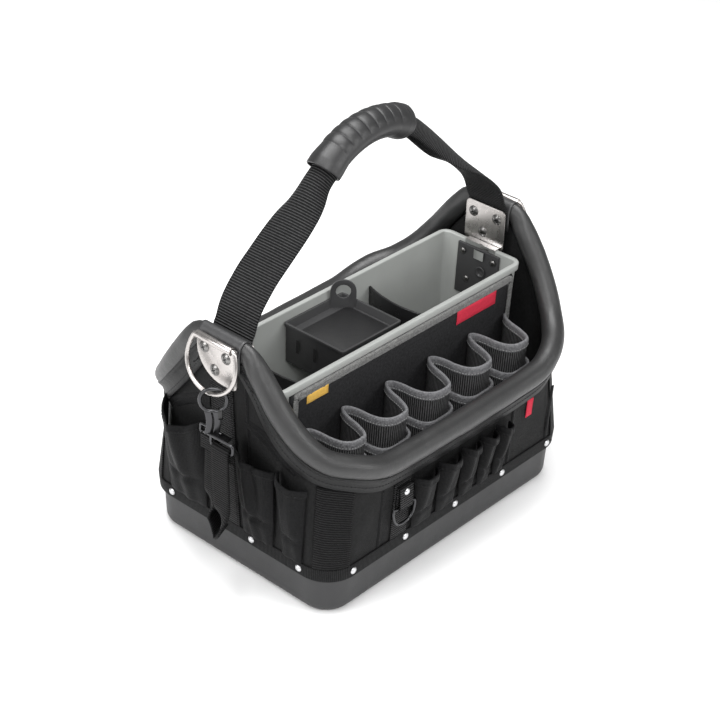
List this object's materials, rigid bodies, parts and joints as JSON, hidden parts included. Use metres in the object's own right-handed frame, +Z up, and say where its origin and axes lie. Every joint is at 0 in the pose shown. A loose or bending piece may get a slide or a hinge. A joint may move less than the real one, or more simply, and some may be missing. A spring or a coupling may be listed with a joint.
{
  "type": "tool tote",
  "caption": "Open top tool tote with padded rim, moulded tray, lift-out box with tool loops, outside pockets, carry strap with grip, two large D-rings and a snap hook.",
  "frame": {"origin": "middle of the moulded tray's underside", "axes": "+X along the bag towards the plain end, -X towards the end with the snap hook, -Y towards the row of slim pockets, +Z up"},
  "size_m": [0.4625, 0.2993, 0.4536],
  "materials": {
    "tray_plastic": "moulded, fine grain",
    "wall_cloth": "coated plain weave",
    "hem_binding": "woven binding",
    "rim_vinyl": "grained vinyl, satin",
    "grip_rubber": "matt",
    "strap_webbing": "ribbed webbing",
    "corner_webbing": "ribbed webbing",
    "nickel": "satin nickel plate",
    "gunmetal": "dark nickel plate",
    "box_plastic": "moulded, satin",
    "panel_cloth": "padded cloth",
    "band_webbing": "ribbed elastic webbing",
    "bin_plastic": "moulded, satin",
    "divider_plastic": "smooth sheet",
    "yellow_tag": "woven tag, blank",
    "red_tag": "woven tag, blank",
    "pocket_cloth": "coated plain weave"
  },
  "bodies": {
    "bag": {"base_tray": "tray_plastic", "body_wall": "wall_cloth", "hem_strip": "hem_binding", "rim_tube": "rim_vinyl", "rim_sleeve_left": "rim_vinyl", "rim_sleeve_right": "rim_vinyl", "grip": "grip_rubber", "strap_left": "strap_webbing", "strap_right": "strap_webbing", "end_webbing_left": "strap_webbing", "end_webbing_right": "strap_webbing", "ring_webbing": "strap_webbing", "ring_tab": "strap_webbing", "corner_webbing_back_left": "corner_webbing", "corner_webbing_back_right": "corner_webbing", "corner_webbing_front_left": "corner_webbing", "corner_webbing_front_right": "corner_webbing", "inner_plate_left": "nickel", "inner_plate_right": "nickel", "outer_plate_left": "nickel", "outer_plate_right": "nickel", "box_clip": "nickel", "front_ring": "gunmetal", "inner_box": "box_plastic", "box_panel_front": "panel_cloth", "box_panel_back": "panel_cloth", "tool_band_front": "band_webbing", "tool_band_back": "band_webbing", "lower_tool_band_front": "band_webbing", "lower_tool_band_back": "band_webbing", "parts_bin": "bin_plastic", "clip_plate": "bin_plastic", "divider_left": "divider_plastic", "divider_right": "divider_plastic", "yellow_tag": "yellow_tag", "red_tag": "red_tag", "side_tag": "red_tag", "row_pocket_1": "pocket_cloth", "row_pocket_2": "pocket_cloth", "row_pocket_3": "pocket_cloth", "row_pocket_4": "pocket_cloth", "row_pocket_5": "pocket_cloth", "back_pocket_left": "pocket_cloth", "back_pocket_right": "pocket_cloth", "wide_pocket_left": "pocket_cloth", "wide_pocket_right": "pocket_cloth", "hook_pocket_left": "pocket_cloth", "hook_pocket_right": "pocket_cloth", "slim_pocket_left": "pocket_cloth", "slim_pocket_right": "pocket_cloth"},
    "ring_left": {"d_ring_left": "nickel"},
    "ring_right": {"d_ring_right": "nickel"},
    "hook": {"snap_hook": "gunmetal", "hook_webbing": "strap_webbing"}
  },
  "joints": [
    {"name": "ring_left_swing", "type": "hinge", "parent": "bag", "child": "ring_left", "pos_m": [-0.21451, 0, 0.2825], "axis": [0, 1, 0], "range_deg": [0, 95]},
    {"name": "ring_right_swing", "type": "hinge", "parent": "bag", "child": "ring_right", "pos_m": [0.21451, 0, 0.2825], "axis": [0, -1, 0], "range_deg": [0, 95]},
    {"name": "hook_swing", "type": "hinge", "parent": "ring_left", "child": "hook", "pos_m": [-0.22512, -0.009, 0.23261], "axis": [0, 1, 0], "range_deg": [0, 40]}
  ]
}
